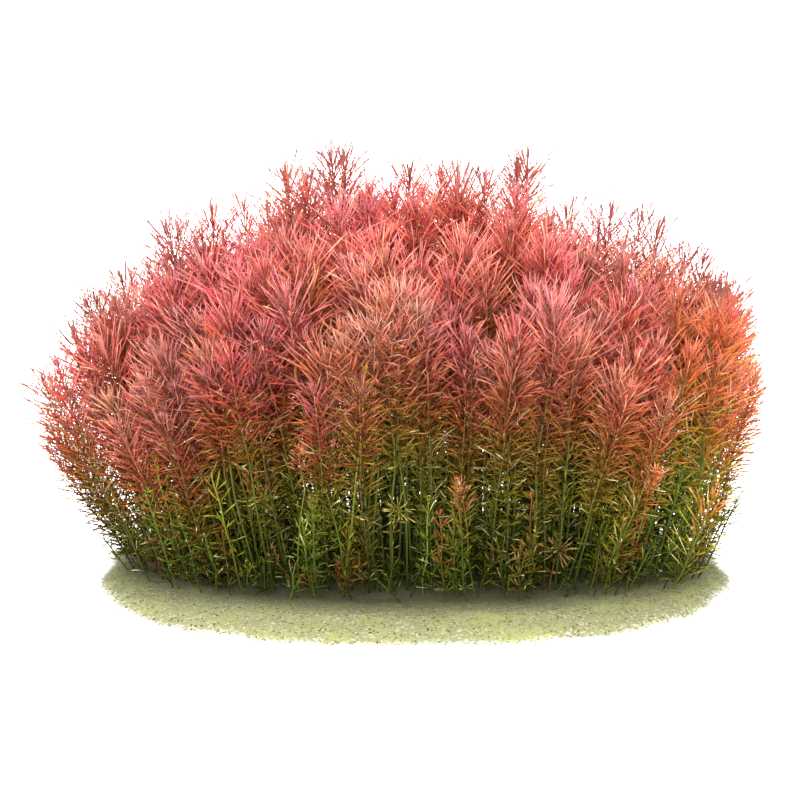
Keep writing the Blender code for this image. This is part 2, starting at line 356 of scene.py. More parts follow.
def makeLeafMaterial(name, look):
    material, tree = newMaterial(name)
    fromTip = attributeValue(tree, "fromTip")
    leafTint = attributeValue(tree, "leafTint")
    wander = mapRange(tree, leafTint, 0, 1, -look["ageSpread"] / 2, look["ageSpread"] / 2)
    age = doMath(tree, "ADD", doMath(tree, "DIVIDE", fromTip, look["reach"]), wander)
    rose = colourRamp(tree, age, look["roseStops"])
    orange = colourRamp(tree, age, look["orangeStops"])
    colour = mixColour(tree, attributeValue(tree, "tint"), rose, orange)
    # the leaf ends take on the tip colour, most along the bush's ridge, which falls away to both sides
    x, _, z = splitVector(tree, objectPlace(tree))
    aside = doMath(tree, "DIVIDE", x, look["ridgeHalf"])
    fall = doMath(tree, "SUBTRACT", 1.0, doMath(tree, "MULTIPLY", aside, aside))
    fall = doMath(tree, "MAXIMUM", fall, look["ridgeLeast"])
    height = doMath(tree, "DIVIDE", z, doMath(tree, "SQRT", fall))
    parts = {"Along": attributeValue(tree, "alongLeaf"), "Age": age, "Bud": fromTip, "Ridge": height}
    shares = [mapRange(tree, value, *look["scorch" + part]) for part, value in parts.items()]
    scorch = doMath(tree, "MULTIPLY", *shares)
    colour = mixColour(tree, scorch, colour, look["tipColour"])
    # one leaf in a few is painted pale cream as a painted highlight (in the young leaves the same few are red
    # instead), and leaves and whole shoots differ in brightness
    shuffled = shuffle(tree, leafTint)
    colour = mixColour(tree, mapRange(tree, shuffled, *look["creamRange"]), colour, look["creamColour"])
    shootValue = mapRange(tree, shuffle(tree, attributeValue(tree, "tint")), 0, 1, *look["shootValue"])
    value = doMath(tree, "MULTIPLY", mapRange(tree, shuffled, 0, 1, *look["leafValue"]), shootValue)
    # painted shade, darker and more olive low in the bush
    colour = shadeGrowth(tree, brighten(tree, colour, value), look)
    # painted highlight: a few pale leaves low between the stems stand in for light glinting there
    glint = mapRange(tree, shuffled, *look["glintRange"])
    glint = doMath(tree, "MULTIPLY", glint, mapRange(tree, z, *look["glintHeight"]))
    colour = mixColour(tree, glint, colour, look["glintColour"])
    grain = useGroup(tree, grainGroup, look["grain"])
    roughness = mapRange(tree, grain["Mask"], *look["roughness"])
    skin = addSkin(tree, colour, roughness, look["specular"], grain["Normal"])
    setSurface(tree, thinSkin(tree, skin, colour, look["thinness"]))
    return material


# stems
stemLook = {
    "reach": 0.150,
    "stops": [
        (0.00, (0.90, 0.45, 0.27)),
        (0.16, (0.50, 0.19, 0.07)),
        (0.32, (0.24, 0.12, 0.03)),
        (0.50, (0.16, 0.15, 0.02)),
        (0.70, (0.15, 0.18, 0.02)),
        (1.00, (0.15, 0.22, 0.03)),
    ],
    "grain": {"Scale": 160.0, "Detail": 3.0, "Strength": 0.3, "Distance": 0.0002},
    "ageRange": (0.3, 0.7, -0.08, 0.08),
    "blotchRange": (0.45, 0.8, 0.0, 0.3),
    "blotchColour": (0.36, 0.36, 0.07, 1),
    "dullness": 4.0,
    "shootValue": (0.46, 1.10),
    "shadeSpan": (0.010, 0.110),
    "roughness": 0.55,
    "specular": 0.15,
    # painted shade colour, multiplied in low in the bush
    "deepColour": (0.35, 0.36, 0.22, 1),
    "freshColour": (0.72, 0.80, 0.44, 1),
    "thinness": 0.25,
}


def makeStemMaterial(look):
    material, tree = newMaterial("stemSkin")
    grain = useGroup(tree, grainGroup, look["grain"])
    age = doMath(tree, "DIVIDE", attributeValue(tree, "fromTip"), look["reach"])
    age = doMath(tree, "ADD", age, mapRange(tree, grain["Mask"], *look["ageRange"]))
    colour = colourRamp(tree, age, look["stops"])
    blotch = mapRange(tree, grain["Mask"], *look["blotchRange"])
    colour = mixColour(tree, blotch, colour, look["blotchColour"])
    # most stems are dull, a few are bright
    bright = doMath(tree, "POWER", shuffle(tree, attributeValue(tree, "tint")), look["dullness"])
    colour = brighten(tree, colour, mapRange(tree, bright, 0, 1, *look["shootValue"]))
    # painted shade, darker and more olive low in the bush
    colour = shadeGrowth(tree, colour, look)
    skin = addSkin(tree, colour, look["roughness"], look["specular"], grain["Normal"])
    setSurface(tree, thinSkin(tree, skin, colour, look["thinness"]))
    return material


# where the shoots stand: the frame's own shoots, more tall ones between them, low ones round the rim
bushPlan = {
    "crownShoots": 165,
    "fillShoots": 285,
    "lowShoots": 430,
    "candidates": 30,
    "seed": 5,
    "margin": (0.004, 0.005),
    "lowMargin": (0.000, 0.012),
    "squareness": 0.07,
    "starWide": 0.010,
    "starRoom": 0.012,
    "starFront": -0.032,
    "drop": {"crown": (-0.005, 0.003), "fill": (0.006, 0.024)},
    "ring": {"crown": (0.0, 1.0), "fill": (0.0, 1.0), "low": (0.2, 1.0)},
    "lowShare": (0.10, 0.48),
    "lowOpen": (0.6, 1.4),
    "lowStarts": ((0.035, 0.060), (0.070, 0.140)),
    "starStart": 0.110,
    "startSpread": 0.016,
    "leanJitter": 0.005,
    "keepInside": (0.009, 0.009, 0.009),
    "pathStep": 0.012,
    "leastSteps": 4,
    "nodWay": (0, 1, -0.3),
    "wobble": 0.0009,
    "wobbleShift": (0, 40),
    "wobbleTurns": 3,
    "bow": (0.46, 0.64),
    "vigour": {"crown": (0.92, 1.12), "fill": (0.70, 0.94), "low": (0.36, 0.62)},
    "smallTop": (0.050, 0.110),
    "smallVigour": 0.72,
    "rimPower": 6,
    "rimLeafy": 0.97,
    "innerLeafy": 0.76,
    "rightEnd": (0.050, 0.100),
    "rightStart": 0.010,
    "rimFresh": 0.45,
    "endFresh": (0.6, 1.0),
    "tint": {"middle": 0.45, "rise": 1.3, "patch": 0.5, "patchScale": 32.0, "spread": 0.28},
}
# shoots that show at the front; start is how far down from a tip their colour begins
tuft = {"start": 0.012, "vigour": 0.36, "nod": 0.012}
greenShoot = {"start": 0.080, "vigour": 0.50, "open": 1.2}
lowGreen = {"start": 0.120, "vigour": 0.30, "open": 0.3}
sideTop = {"start": 0.040, "vigour": 0.80, "open": 0.5}
frontShoots = (
    {**lowGreen, "foot": (-0.0405, -0.0425), "tip": (-0.0400, -0.0470, 0.0490)},
    {**greenShoot, "foot": (-0.0290, -0.0430), "tip": (-0.0190, -0.0720, 0.1080), "start": 0.060, "open": 1.3},
    {**tuft, "foot": (0.0260, -0.0435), "tip": (0.0190, -0.0560, 0.0562), "leafy": 0.3},
    {**tuft, "foot": (0.0880, -0.0350), "tip": (0.0980, -0.0560, 0.0630), "leafy": 0.25},
    {**tuft, "foot": (-0.0470, -0.0415), "tip": (-0.0452, -0.0600, 0.0722), "leafy": 0.2, "start": 0.015},
    {**greenShoot, "foot": (-0.0699, -0.0370), "tip": (-0.0810, -0.0580, 0.0600)},
    {**sideTop, "foot": (0.1068, -0.0330), "tip": (0.1220, -0.0450, 0.0475)},
    {**greenShoot, "foot": (-0.0925, -0.0260), "tip": (-0.1050, -0.0450, 0.0640)},
)
# what the shoots of a path mesh hand to the tree
shootLabels = ("tint", "vigour", "start", "leafy", "open", "fresh")


def clamp(value, low=0.0, high=1.0):
    return min(high, max(low, value))


def shareOf(value, span):
    # how far along a span a value lies
    return (value - span[0]) / (span[1] - span[0])


def shootEnds(name):
    # the middle of the stem's foot, and a place just above the ring that its long bud stands on
    ringMost, budLeast, budStart = 0.001, 0.004, 0.001
    form = bmesh.new()
    form.from_mesh(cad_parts[name].data)
    bmesh.ops.remove_doubles(form, verts=form.verts, dist=1e-6)
    lowest = min(v.co.z for v in form.verts)
    root = [v.co for v in form.verts if v.co.z < lowest + 1e-5]
    foot = sum(root, Vector()) / len(root)
    tip = None
    for vert in form.verts:
        ring = [e.other_vert(vert).co for e in vert.link_edges]
        middle = sum(ring, Vector()) / len(ring)
        wide = max((c - middle).length for c in ring)
        if wide < ringMost and (vert.co - middle).length > budLeast:
            tip = middle + (vert.co - middle).normalized() * budStart
    form.free()
    return foot, tip


def scatterSpot(taken, half, share, plan, draw):
    # of several random spots in the ring, the one furthest from every shoot placed so far
    angles = [draw.uniform(0, 2 * math.pi) for _ in range(plan["candidates"])]
    radii = [math.sqrt(draw.uniform(*share)) * (1 + plan["squareness"] * math.sin(2 * a) ** 2) for a in angles]
    spots = np.array([(r * math.cos(a), r * math.sin(a)) for r, a in zip(radii, angles)])
    gaps = (spots[:, None] - np.array(taken)[None]) * half
    return spots[(gaps**2).sum(axis=2).min(axis=1).argmax()]


def hidesStar(place, star, plan):
    return place[1] < plan["starFront"] and abs(place[0] - star[0]) < plan["starWide"]


def drawTint(shoot, plan, draw):
    # rosier towards the left end, more orange towards the right, and in patches
    patch = noise.noise(Vector((*shoot["tip"][:2], 0.0)) * plan["patchScale"])
    middle = plan["middle"] + plan["rise"] * shoot["foot"][0] + plan["patch"] * patch
    return clamp(draw.gauss(middle, plan["spread"]))


def placeShoots(plan, extra, names, stars):
    draw = random.Random(plan["seed"])
    ends = [shootEnds(name) for name in names]
    feet = np.array([e[0] for e in ends])
    tips = np.array([e[1] for e in ends])
    middle = (feet.min(axis=0) + feet.max(axis=0))[:2] / 2
    half = (feet.max(axis=0) - feet.min(axis=0))[:2] / 2 + np.array(plan["margin"])
    shoots = [{"plant": n, "foot": feet[i], "tip": tips[i], "kind": "crown"} for i, n in enumerate(names)]
    for shoot in extra:
        near = np.linalg.norm(feet[:, :2] - shoot["foot"], axis=1).argmin()
        placed = {"foot": np.array([*shoot["foot"], feet[near, 2]]), "tip": np.array(shoot["tip"])}
        shoots.append({**shoot, **placed, "plant": names[near], "kind": "low", "tint": 0.9, "fresh": 1.0})
    taken = [(shoot["foot"][:2] - middle) / half for shoot in shoots]
    kinds = ["crown"] * (plan["crownShoots"] - len(names)) + ["fill"] * plan["fillShoots"]
    for kind in kinds + ["low"] * plan["lowShoots"]:
        isLow = kind == "low"
        spot = scatterSpot(taken, half, plan["ring"][kind], plan, draw)
        taken.append(spot)
        place = middle + spot * (half + np.array(plan["lowMargin"]) if isLow else half)
        # it leans as its three nearest plants do
        gaps = np.linalg.norm(feet[:, :2] - place, axis=1)
        near = gaps.argsort()[:3]
        weights = 1 / (gaps[near] ** 2 + 1e-6)
        lean = ((tips - feet)[near] * weights[:, None]).sum(axis=0) / weights.sum()
        shoot = {"plant": names[near[0]], "kind": kind}
        if isLow:
            lean *= draw.uniform(*plan["lowShare"])
            shoot["open"] = draw.uniform(*plan["lowOpen"])
            shoot["start"] = draw.choice([draw.uniform(*span) for span in plan["lowStarts"]])
            # nothing tall stands in front of a star
            for star in stars:
                if hidesStar(place, star, plan):
                    lean *= min(1, (star[2] - plan["starRoom"]) / 2 / lean[2])
                    shoot["start"] = plan["starStart"]
        else:
            lean[2] -= draw.uniform(*plan["drop"][kind])
        lean[:2] += np.array([draw.gauss(0, plan["leanJitter"]), draw.gauss(0, plan["leanJitter"])])
        shoot["foot"] = np.array([*place, feet[near[0], 2]])
        shoot["tip"] = shoot["foot"] + lean
        shoots.append(shoot)
    lowest = np.array(cadBox[0]) + plan["keepInside"]
    highest = np.array(cadBox[1]) - plan["keepInside"]
    for shoot, spot in zip(shoots, taken):
        shoot["tip"] = np.clip(shoot["tip"], lowest, highest)
        # stems inside the clump have lost the leaves that stood in its shade
        rim = min(1, float(np.linalg.norm(spot))) ** plan["rimPower"]
        shoot.setdefault("leafy", plan["innerLeafy"] + (plan["rimLeafy"] - plan["innerLeafy"]) * rim)
        for star in stars:
            if shoot["kind"] != "low" and hidesStar(shoot["foot"], star, plan):
                shoot["leafy"] = min(shoot["leafy"], 1 - (star[2] + plan["starRoom"]) / shoot["tip"][2])
        # the right end of the bush is the freshest
        rightEnd = clamp(shareOf(shoot["foot"][0], plan["rightEnd"]))
        rimFresh = plan["rimFresh"] * draw.random() * (1 - rightEnd)
        rimFresh = rim * (rimFresh + rightEnd * draw.uniform(*plan["endFresh"]))
        shoot.setdefault("fresh", draw.random() if shoot["kind"] == "low" else rimFresh)
        shoot.setdefault("start", plan["rightStart"] * rightEnd * rim + draw.uniform(0, plan["startSpread"]))
        shoot.setdefault("open", 0.0)
        shoot.setdefault("tint", drawTint(shoot, plan["tint"], draw))
        small = plan["smallVigour"] + (1 - plan["smallVigour"]) * shareOf(shoot["tip"][2], plan["smallTop"])
        vigour = draw.uniform(*plan["vigour"][shoot["kind"]])
        shoot.setdefault("vigour", vigour * clamp(small, plan["smallVigour"]))
    return shoots


def shootPath(shoot, plan, draw):
    foot = Vector(shoot["foot"])
    tip = Vector(shoot["tip"])
    bow = draw.uniform(*plan["bow"])
    control = Vector((foot.x + (tip.x - foot.x) * bow, foot.y + (tip.y - foot.y) * bow, (foot.z + tip.z) / 2))
    if "nod" in shoot:
        # a nodding shoot turns its tip towards the front
        control = tip + Vector(plan["nodWay"]) * shoot["nod"]
    shift = draw.uniform(*plan["wobbleShift"])
    path = []
    steps = max(plan["leastSteps"], round((tip - foot).length / plan["pathStep"]))
    for i in range(steps + 1):
        t = i / steps
        spot = (1 - t) ** 2 * foot + 2 * t * (1 - t) * control + t * t * tip
        sway = 3 * plan["wobble"] * math.sin(math.pi * t) ** 0.5
        turn = t * plan["wobbleTurns"]
        spot.x += sway * noise.noise(Vector((shift, turn, 0)))
        spot.y += sway * noise.noise(Vector((shift, 9, turn)))
        path.append(spot)
    return path


def buildPathMesh(name, shoots, plan, draw):
    spots = []
    edges = []
    values = {label: [] for label in shootLabels}
    for shoot in shoots:
        path = shootPath(shoot, plan, draw)
        start = len(spots)
        edges += [(start + i, start + i + 1) for i in range(len(path) - 1)]
        spots += path
        for label, column in values.items():
            column += [shoot[label]] * len(path)
    mesh = bpy.data.meshes.new(name)
    mesh.from_pydata([tuple(s) for s in spots], edges, [])
    for label, column in values.items():
        mesh.attributes.new(label, "FLOAT", "POINT").data.foreach_set("value", column)
    return mesh


# one leaf, a unit long and a unit wide: a flat blade with a keel, drawn out to a point
leafForms = {"foot": 0.32, "keel": 0.018, "ring": 0.76, "bends": (-0.24, -0.14, -0.05, 0.05, 0.16)}


def buildLeaf(name, bend, forms):
    form = bmesh.new()
    ring = forms["ring"]
    out = bend * ring * ring
    left, right = [form.verts.new((0, side * forms["foot"], 0)) for side in (1, -1)]
    ringLeft, ringRight = [form.verts.new((out, side * 0.5, ring)) for side in (1, -1)]
    keel = form.verts.new((out + forms["keel"], 0, ring))
    tip = form.verts.new((bend, 0, 1))
    form.faces.new((left, right, ringRight, ringLeft))
    form.faces.new((left, ringLeft, keel))
    form.faces.new((right, keel, ringRight))
    form.faces.new((left, keel, right))
    form.faces.new((ringLeft, ringRight, tip))
    form.faces.new((ringLeft, tip, keel))
    form.faces.new((keel, tip, ringRight))
    bmesh.ops.recalc_face_normals(form, faces=form.faces)
    mesh = finishForm(form, name)
    along = mesh.attributes.new("alongLeaf", "FLOAT", "POINT")
    along.data.foreach_set("value", [v.co.z for v in mesh.vertices])
    return bpy.data.objects.new(name, mesh)


def buildLeafForms(forms):
    rack = bpy.data.collections.new("leafForms")
    for i, bend in enumerate(forms["bends"]):
        rack.objects.link(buildLeaf(f"leafForm{i}", bend, forms))
    return rack


# a plant's stems and leaves, grown along its paths: sizes, how far leaves stray, how open, fresh, weak
# and high shoots differ, and curves against the distance from the tip as a share of the reach
shootForm = {
    "inputs": {
        "Whorls": 32,
        "First Gap": 0.0003,
        "Gap": 0.0022,
        "Gap Growth": 0.000070,
        "Lowest": 0.0094,
        "Reach": 0.150,
        "Leaf Length": 0.0225,
        "Leaf Width": 0.00045,
        "Lower Width": 1.4,
        "Leaves": 9,
        "Twist": 0.95,
        "Stem Radius": 0.00048,
    },
    "freshAge": 2.2,
    "weakGirth": 0.5,
    "openGap": 2.6,
    "openLeaves": 0.5,
    "openAngle": 0.08,
    "spin": (0.0, 0.5),
    "turn": (-0.35, 0.35),
    "angle": (0.60, 1.36),
    "mostAngle": 1.6,
    "roll": (-1.4, 1.4),
    "length": (0.66, 1.05),
    "cutBack": 1.4,
    "leastLength": 0.35,
    "leastDepth": 0.014,
    "broadSpan": (0.2, 0.5),
    "ridgeSpan": (0.145, 0.178),
    "ridgeWidth": 1.5,
    "leafKinds": len(leafForms["bends"]),
    "curves": {
        "length": [
            (0.0, 0.32),
            (0.012, 0.60),
            (0.024, 0.88),
            (0.040, 1.0),
            (0.12, 1.0),
            (0.30, 0.78),
            (0.45, 0.52),
            (0.65, 0.40),
            (1.0, 0.34),
        ],
        "angle": [
            (0.0, 0.06),
            (0.012, 0.20),
            (0.024, 0.34),
            (0.040, 0.42),
            (0.070, 0.50),
            (0.12, 0.56),
            (0.20, 0.62),
            (0.33, 0.68),
            (0.60, 0.78),
            (1.0, 0.88),
        ],
        "leaves": [(0.0, 0.9), (0.02, 0.75), (0.08, 0.9), (0.20, 1.0), (0.40, 0.8), (1.0, 0.7)],
        "radius": [(0.0, 0.35), (0.15, 0.60), (0.5, 0.9), (1.0, 1.0)],
    },
}


def sampleShoot(tree, path, value, shoot):
    inputs = {"Geometry": path, "Value": value, "Index": shoot}
    return addValue(tree, "GeometryNodeSampleIndex", inputs, data_type="FLOAT", domain="CURVE")


def buildShootTree(form):
    sockets = {
        "Geometry": ("Geometry",),
        "Int": ("Whorls", "Leaves", "Seed"),
        "Float": [label for label, value in form["inputs"].items() if isinstance(value, float)],
        "Vector": ("Room Centre", "Room Half"),
        "Collection": ("Leaf Forms",),
        "Material": ("Leaf Material", "Stem Material"),
    }
    tree, ask = newTree("leafyShoots", sockets)
    curves = form["curves"]
    seed = ask["Seed"]
    path = addValue(tree, "GeometryNodeMeshToCurve", {"Mesh": ask["Geometry"]})
    pathLength = addNode(tree, "GeometryNodeSplineLength").outputs["Length"]
    parameter = addNode(tree, "GeometryNodeSplineParameter").outputs["Length"]
    greener = mapRange(tree, readAttribute(tree, "fresh"), 0.0, 1.0, 1.0, form["freshAge"])
    below = doMath(tree, "MULTIPLY", doMath(tree, "SUBTRACT", pathLength, parameter), greener)
    path = storeAttribute(tree, path, "fromTip", doMath(tree, "ADD", below, readAttribute(tree, "start")))

    # stem
    age = doMath(tree, "DIVIDE", readAttribute(tree, "fromTip"), ask["Reach"])
    girth = mapRange(tree, readAttribute(tree, "vigour"), 0.0, 1.0, form["weakGirth"], 1.0)
    thick = doMath(tree, "MULTIPLY", floatCurve(tree, age, curves["radius"]), ask["Stem Radius"], girth)
    ring = addValue(tree, "GeometryNodeCurvePrimitiveCircle", {"Resolution": 6, "Radius": 1.0})
    inputs = {"Curve": path, "Profile Curve": ring, "Scale": thick, "Fill Caps": True}
    stem = addValue(tree, "GeometryNodeCurveToMesh", inputs)

    # a point for each whorl, further apart lower down
    size = addNode(tree, "GeometryNodeAttributeDomainSize", {"Geometry": path}, component="CURVE")
    count = doIntMath(tree, "MULTIPLY", size.outputs["Spline Count"], ask["Whorls"])
    points = addValue(tree, "GeometryNodePoints", {"Count": count})
    index = addValue(tree, "GeometryNodeInputIndex")
    whorl = doIntMath(tree, "MODULO", index, ask["Whorls"])
    shoot = doIntMath(tree, "DIVIDE_FLOOR", index, ask["Whorls"])
    ofShoot = {label: sampleShoot(tree, path, readAttribute(tree, label), shoot) for label in shootLabels}
    growth = doMath(tree, "MULTIPLY", whorl, whorl, ask["Gap Growth"])
    down = doMath(tree, "ADD", doMath(tree, "MULTIPLY", whorl, ask["Gap"]), growth)
    down = doMath(tree, "MULTIPLY", down, mapRange(tree, ofShoot["open"], 0.0, 1.0, 1.0, form["openGap"]))
    down = doMath(tree, "ADD", down, ask["First Gap"])
    wholeLength = sampleShoot(tree, path, pathLength, shoot)
    inputs = {"Curves": path, "Length": doMath(tree, "SUBTRACT", wholeLength, down), "Curve Index": shoot}
    sample = addNode(tree, "GeometryNodeSampleCurve", inputs, mode="LENGTH").outputs
    spin = doMath(tree, "MULTIPLY", whorl, ask["Twist"])
    spin = doMath(tree, "ADD", spin, randomValue(tree, *form["spin"], seed, 1))
    carried = {label: ofShoot[label] for label in ("tint", "vigour", "open", "fresh")}
    carried["fromTip"] = doMath(tree, "ADD", down, ofShoot["start"])
    carried["leafyLength"] = doMath(tree, "MULTIPLY", wholeLength, ofShoot["leafy"])
    for label, value in {**carried, "down": down, "spin": spin}.items():
        points = storeAttribute(tree, points, label, value)
    points = storeAttribute(tree, points, "stemDirection", sample["Tangent"], "FLOAT_VECTOR")
    inputs = {"Geometry": points, "Position": sample["Position"]}
    points = addValue(tree, "GeometryNodeSetPosition", inputs)
    bare = doMath(tree, "GREATER_THAN", readAttribute(tree, "down"), readAttribute(tree, "leafyLength"))
    place = addValue(tree, "GeometryNodeInputPosition")
    buried = doMath(tree, "LESS_THAN", splitVector(tree, place)[2], ask["Lowest"])
    inputs = {"Geometry": points, "Selection": doMath(tree, "MAXIMUM", bare, buried)}
    points = addValue(tree, "GeometryNodeDeleteGeometry", inputs, domain="POINT")

    # leaves of each whorl
    lower = doMath(tree, "DIVIDE", readAttribute(tree, "down"), ask["Reach"])
    opened = readAttribute(tree, "open")
    sparser = mapRange(tree, opened, 0.0, 1.0, 1.0, form["openLeaves"])
    number = doMath(tree, "MULTIPLY", floatCurve(tree, lower, curves["leaves"]), ask["Leaves"], sparser)
    number = doMath(tree, "ROUND", number)
    inputs = {"Geometry": points, "Amount": number}
    copies = addNode(tree, "GeometryNodeDuplicateElements", inputs, domain="POINT").outputs
    turn = doMath(tree, "MULTIPLY", doMath(tree, "DIVIDE", copies["Duplicate Index"], number), 2 * math.pi)
    turn = doMath(tree, "ADD", turn, readAttribute(tree, "spin"), randomValue(tree, *form["turn"], seed, 2))
    wider = doMath(tree, "MULTIPLY", opened, form["openAngle"])
    angle = doMath(tree, "ADD", floatCurve(tree, lower, curves["angle"]), wider)
    angle = doMath(tree, "MULTIPLY", angle, math.pi / 2, randomValue(tree, *form["angle"], seed, 3))
    angle = doMath(tree, "MINIMUM", angle, form["mostAngle"])
    along = readAttribute(tree, "stemDirection", "FLOAT_VECTOR")
    upright = addValue(tree, "FunctionNodeAlignRotationToVector", {"Vector": along}, axis="Z")
    rotation = turnBy(tree, upright, (0, 0, 1), turn)
    rotation = turnBy(tree, rotation, (0, 1, 0), angle)
    rotation = turnBy(tree, rotation, (0, 0, 1), randomValue(tree, *form["roll"], seed, 7))
    reach = doMath(tree, "MULTIPLY", floatCurve(tree, lower, curves["length"]), ask["Leaf Length"])
    stray = randomValue(tree, *form["length"], seed, 4)
    reach = doMath(tree, "MULTIPLY", reach, stray, readAttribute(tree, "vigour"))
    # a leaf that would leave the bush's own room stays short
    inputs = {"Vector": joinVector(tree, 0.0, 0.0, reach), "Rotation": rotation}
    ahead = addValue(tree, "FunctionNodeRotateVector", inputs)
    leafEnd = doVector(tree, "SUBTRACT", doVector(tree, "ADD", place, ahead), ask["Room Centre"])
    beyond = doVector(tree, "SUBTRACT", doVector(tree, "ABSOLUTE", leafEnd), ask["Room Half"])
    over = doMath(tree, "MAXIMUM", *splitVector(tree, beyond), 0.0)
    over = doMath(tree, "MULTIPLY", over, form["cutBack"])
    shortest = doMath(tree, "MULTIPLY", reach, form["leastLength"])
    reach = doMath(tree, "MAXIMUM", doMath(tree, "SUBTRACT", reach, over), shortest)
    # older leaves are broader, and so are the highest, which show against the light
    age = doMath(tree, "DIVIDE", readAttribute(tree, "fromTip"), ask["Reach"])
    broader = mapRange(tree, mapRange(tree, age, *form["broadSpan"], 0, 1), 0, 1, 1.0, ask["Lower Width"])
    higher = mapRange(tree, splitVector(tree, place)[2], *form["ridgeSpan"], 1.0, form["ridgeWidth"])
    width = doMath(tree, "MULTIPLY", ask["Leaf Width"], broader, higher)
    scale = joinVector(tree, doMath(tree, "MAXIMUM", reach, form["leastDepth"]), width, reach)
    which = randomValue(tree, 0, form["leafKinds"] - 1, seed, 5, "INT")
    leaves = standForms(tree, copies[0], ask["Leaf Forms"], which, rotation, scale)
    leafTint = randomValue(tree, 0.01, 1.0, seed, 6)
    leaves = storeAttribute(tree, leaves, "leafTint", leafTint, domain="INSTANCE")
    whole = setMaterial(tree, joinMeshes(tree, stem, leaves), ask["Stem Material"])
    isLeaf = doMath(tree, "GREATER_THAN", readAttribute(tree, "leafTint"), 0.0)
    whole = setMaterial(tree, whole, ask["Leaf Material"], isLeaf)
    endTree(tree, {"Geometry": ("Geometry", whole)})
    return tree


def bakePieces(sources, suffix, spares=()):
    # evaluates every source's tree once and keeps the plain meshes, without the spare attributes
    bpy.context.view_layer.update()
    depsgraph = bpy.context.evaluated_depsgraph_get()
    pieces = []
    for name, source in sources:
        mesh = bpy.data.meshes.new_from_object(source.evaluated_get(depsgraph), depsgraph=depsgraph)
        for spare in spares:
            if spare in mesh.attributes:
                mesh.attributes.remove(mesh.attributes[spare])
        mesh.name = name + suffix
        pieces.append((name, linkObject(name + suffix, mesh)))
    for _, source in sources:
        bpy.data.objects.remove(source)
    return pieces


def countTriangles(mesh):
    return sum(len(p.vertices) - 2 for p in mesh.polygons)


def growPlants(plants, form, extras, draw, plan):
    spares = ("stemDirection", "spin", "leafyLength", "down", "vigour", "start", "leafy", "open")
    tree = buildShootTree(form)
    sources = []
    for number, (name, shoots) in enumerate(sorted(plants.items())):
        source = linkObject(name + "_paths", buildPathMesh(name + "_paths", shoots, plan, draw))
        modifier = source.modifiers.new("grow", "NODES")
        modifier.node_group = tree
        setInputs(modifier, {**form["inputs"], **extras, "Seed": 100 * number})
        sources.append((name, source))
    return bakePieces(sources, "_dressed", spares)


plantNames = [n for n in nodeNames if n.startswith("shoot_")]
youngEnds = {name: shootEnds(name) for name in nodeNames if name.startswith("young_")}
draw = random.Random(bushPlan["seed"] + 1)
shoots = placeShoots(bushPlan, frontShoots, plantNames, [tip for _, tip in youngEnds.values()])
plants = {}
for shoot in shoots:
    plants.setdefault(shoot["plant"], []).append(shoot)
print("shoots placed:", len(shoots), "on", len(plants), "plants")

room = {"low": (0.0025, 0.0025, 0.0045), "high": (0.0025, 0.0025, 0.0034)}
roomLow = np.array(cadBox[0]) + room["low"]
roomHigh = np.array(cadBox[1]) - room["high"]
extras = {
    "Leaf Forms": buildLeafForms(leafForms),
    "Leaf Material": makeLeafMaterial("pinkLeaf", leafLook),
    "Stem Material": makeStemMaterial(stemLook),
    "Room Centre": tuple((roomLow + roomHigh) / 2),
    "Room Half": tuple((roomHigh - roomLow) / 2),
}
triangles = 0
for name, piece in growPlants(plants, shootForm, extras, draw, bushPlan):
    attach(piece, "root")
    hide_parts(name)
    triangles += countTriangles(piece.data)
print("plants dressed:", triangles, "triangles")

# young shoots: a short nodding stem that ends in an open star of leaves
youngForm = {
    **shootForm,
    "inputs": {
        **shootForm["inputs"],
        "Whorls": 8,
        "First Gap": 0.0,
        "Gap": 0.0009,
        "Gap Growth": 0.00055,
        "Leaf Length": 0.0098,
        "Leaf Width": 0.00062,
        "Lower Width": 1.0,
        "Leaves": 6,
    },
    "curves": {
        **shootForm["curves"],
        "length": [(0.0, 0.85), (0.01, 1.0), (0.03, 0.95), (0.06, 0.6), (0.12, 0.6), (1.0, 0.5)],
        "angle": [(0.0, 0.55), (0.008, 0.78), (0.02, 0.92), (0.05, 0.80), (1.0, 0.85)],
        "leaves": [(0.0, 1.0), (0.02, 1.0), (0.04, 0.7), (1.0, 0.6)],
    },
    "shoot": {"vigour": 1.0, "start": 0.0, "leafy": 0.9, "open": 0.0, "fresh": 1.0, "nod": 0.020},
    "tints": {"young_shoot_1": 1.0, "young_shoot_2": 0.75, "young_shoot_3": 0.1},
}
youngLook = {
    **leafLook,
    "roseStops": [(0.0, (1.00, 0.55, 0.42)), (0.2, (0.90, 0.46, 0.28)), (1.0, (0.46, 0.40, 0.12))],
    "orangeStops": [(0.0, (1.00, 0.90, 0.38)), (0.2, (1.00, 0.85, 0.26)), (1.0, (0.46, 0.54, 0.12))],
    "tipColour": (1.00, 0.80, 0.46, 1),
    # in a young star the same few leaves are red, their own colour
    "creamColour": (0.95, 0.20, 0.06, 1),
    # the young leaves take no painted shade colour
    "deepColour": (1.0, 1.0, 1.0, 1),
}
youngPlants = {}
for name, (foot, tip) in youngEnds.items():
    youngPlants[name] = [{**youngForm["shoot"], "foot": foot, "tip": tip, "tint": youngForm["tints"][name]}]
youngExtras = {**extras, "Leaf Material": makeLeafMaterial("youngLeaf", youngLook)}
for name, piece in growPlants(youngPlants, youngForm, youngExtras, draw, bushPlan):
    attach(piece, "root")
    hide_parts(name)
print("young shoots dressed")


